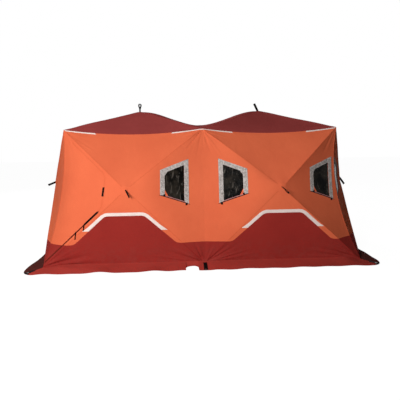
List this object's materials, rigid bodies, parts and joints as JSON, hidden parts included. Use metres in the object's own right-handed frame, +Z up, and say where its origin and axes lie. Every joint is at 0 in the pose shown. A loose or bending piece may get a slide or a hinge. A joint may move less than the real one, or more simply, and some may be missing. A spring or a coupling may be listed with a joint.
{
  "type": "pop-up ice fishing shelter",
  "caption": "Two-bay pop-up hub shelter of insulated fabric over crossed poles, with a zipped door flap, clear windows and a ground skirt.",
  "frame": {"origin": "on the ground at the middle of the plan", "axes": "+X along the two bays, to the right seen from the front; +Y from front to back; +Z up"},
  "size_m": [4.8452, 2.7278, 2.2625],
  "materials": {
    "wall_fabric": "coated woven polyester, satin",
    "base_fabric": "coated woven polyester, satin",
    "roof_fabric": "coated woven polyester, satin",
    "skirt_fabric": "coated woven polyester, matt",
    "window_film": "clear smoked film, gloss",
    "window_tape": "silver grey tape",
    "reflective_tape": "white reflective tape",
    "pole": "pultruded fibreglass, satin",
    "fitting": "moulded nylon, matt",
    "webbing": "woven webbing, matt"
  },
  "bodies": {
    "shelter": {"front_left_wall": "wall_fabric", "front_right_wall": "wall_fabric", "back_left_wall": "wall_fabric", "back_right_wall": "wall_fabric", "left_end_wall": "wall_fabric", "right_end_wall": "wall_fabric", "door_piping": "wall_fabric", "front_left_base": "base_fabric", "front_right_base": "base_fabric", "back_left_base": "base_fabric", "back_right_base": "base_fabric", "left_end_base": "base_fabric", "right_end_base": "base_fabric", "left_roof": "roof_fabric", "right_roof": "roof_fabric", "front_left_skirt": "skirt_fabric", "front_right_skirt": "skirt_fabric", "back_left_skirt": "skirt_fabric", "back_right_skirt": "skirt_fabric", "left_end_skirt": "skirt_fabric", "right_end_skirt": "skirt_fabric", "front_window_panes": "window_film", "back_window_panes": "window_film", "end_window_panes": "window_film", "front_window_frames": "window_tape", "back_window_frames": "window_tape", "end_window_frames": "window_tape", "eave_reflectors": "reflective_tape", "base_reflectors": "reflective_tape", "front_poles": "pole", "back_poles": "pole", "end_poles": "pole", "roof_poles": "pole", "front_hubs": "fitting", "back_hubs": "fitting", "end_hubs": "fitting", "roof_hubs": "fitting", "top_corner_joints": "fitting", "base_corner_joints": "fitting", "hub_pulls": "webbing", "stake_tabs": "webbing"},
    "door": {"door_flap": "wall_fabric", "door_zip": "webbing"}
  },
  "joints": [
    {"name": "door_fold", "type": "hinge", "parent": "shelter", "child": "door", "pos_m": [-1.79566, -1.02436, 0.94191], "axis": [-0.1227, -0.1227, -0.9848], "range_deg": [0, 110]}
  ]
}
